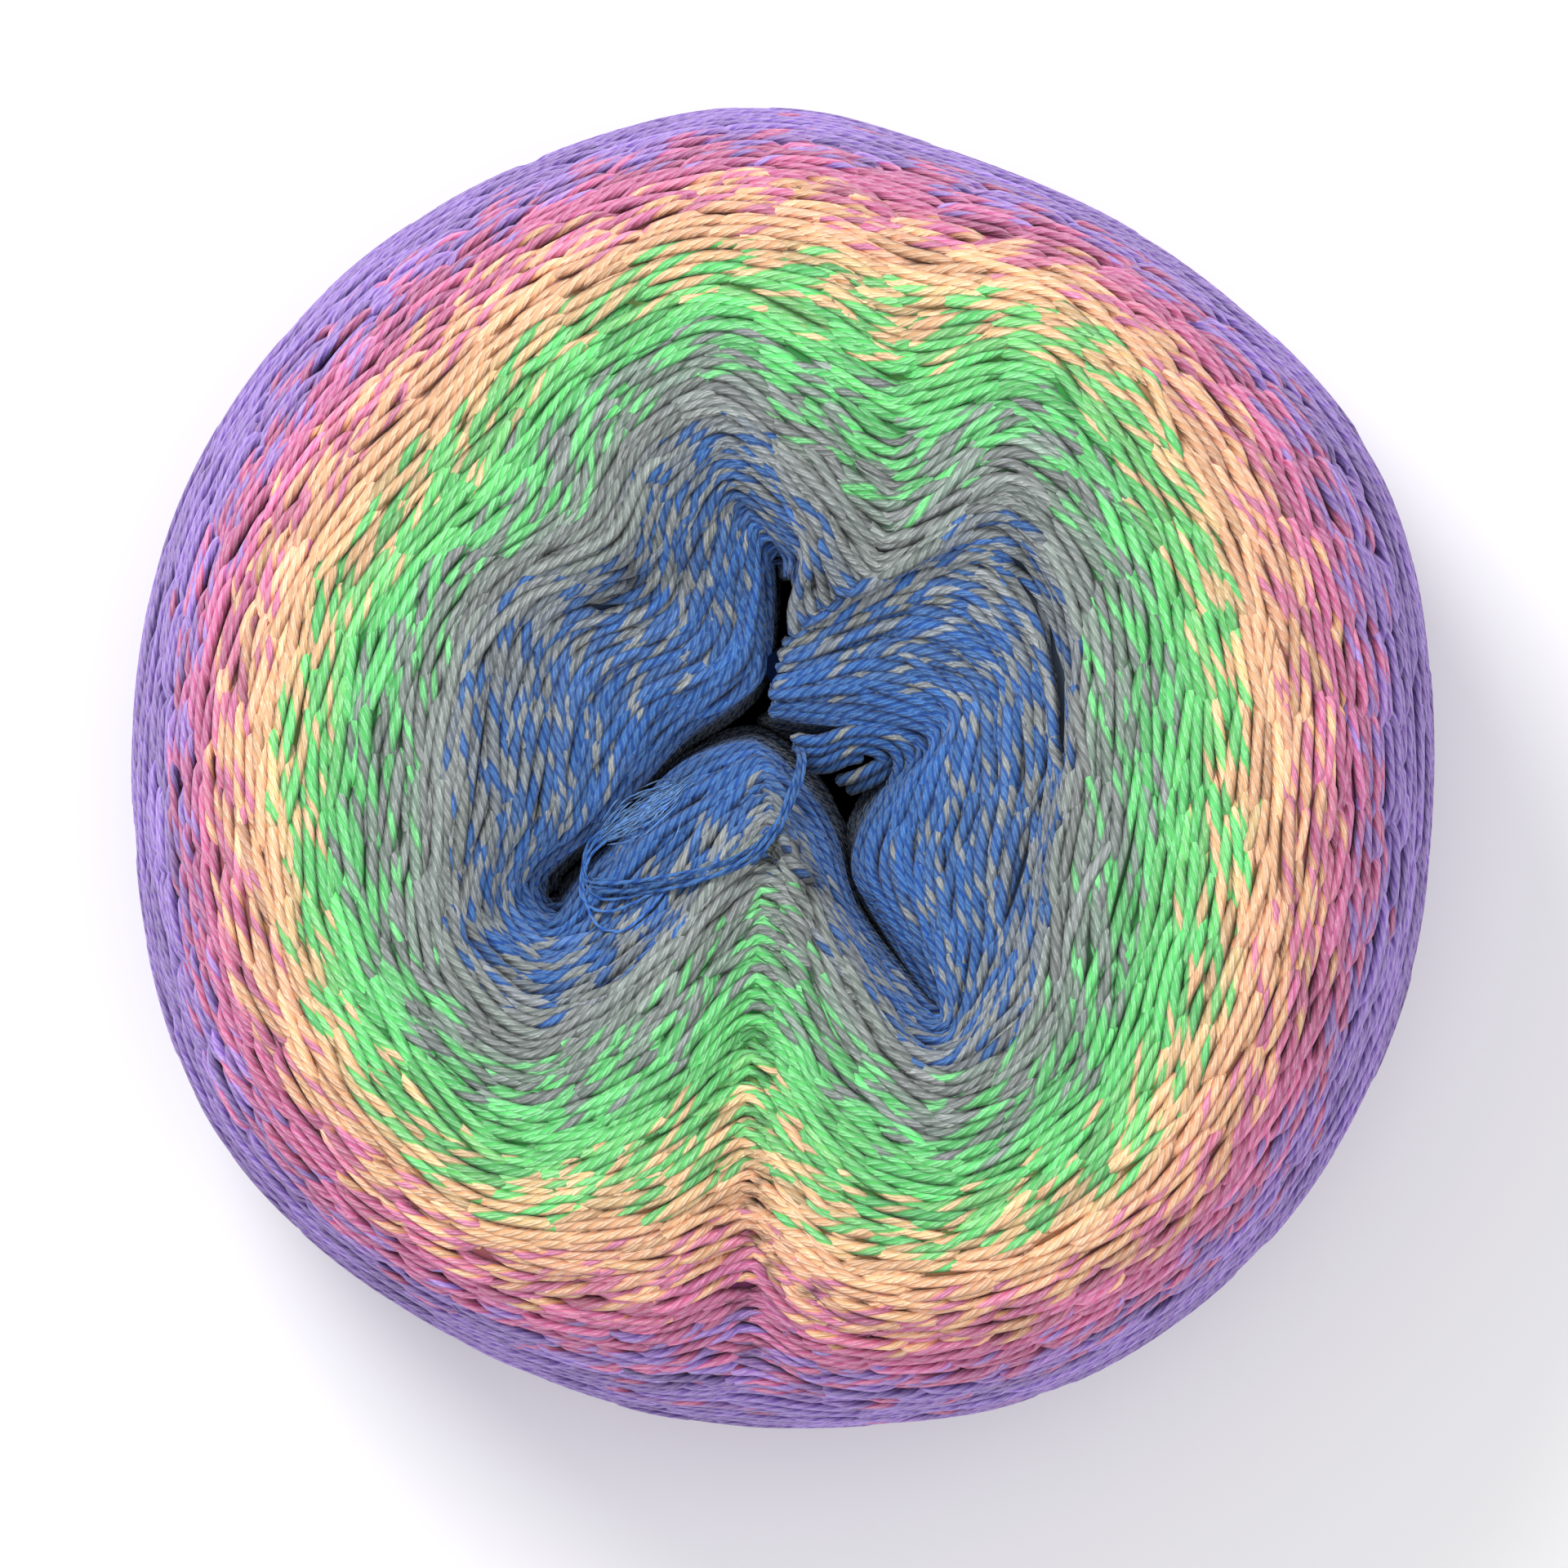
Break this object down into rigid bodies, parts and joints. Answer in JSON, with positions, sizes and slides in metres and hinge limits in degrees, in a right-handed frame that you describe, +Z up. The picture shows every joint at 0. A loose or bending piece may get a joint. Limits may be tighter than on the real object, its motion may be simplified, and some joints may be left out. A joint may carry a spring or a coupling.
{
  "type": "yarn cake",
  "caption": "Wound cake of colour-changing yarn, flat-ended with rounded shoulders, a collapsed folded middle and a loose inner end lying on top.",
  "frame": {"origin": "centre of the cake's outline, on the flat face it rests on", "axes": "+Z up along the winding axis, +X to the right and +Y to the top of the cake as it is seen from above"},
  "size_m": [0.1488, 0.1512, 0.078],
  "materials": {
    "wound_yarn": "soft cotton-blend yarn, matt",
    "loose_yarn": "soft cotton-blend yarn, matt"
  },
  "bodies": {
    "root": {"wound_cake": "wound_yarn", "loose_end": "loose_yarn"}
  },
  "joints": []
}
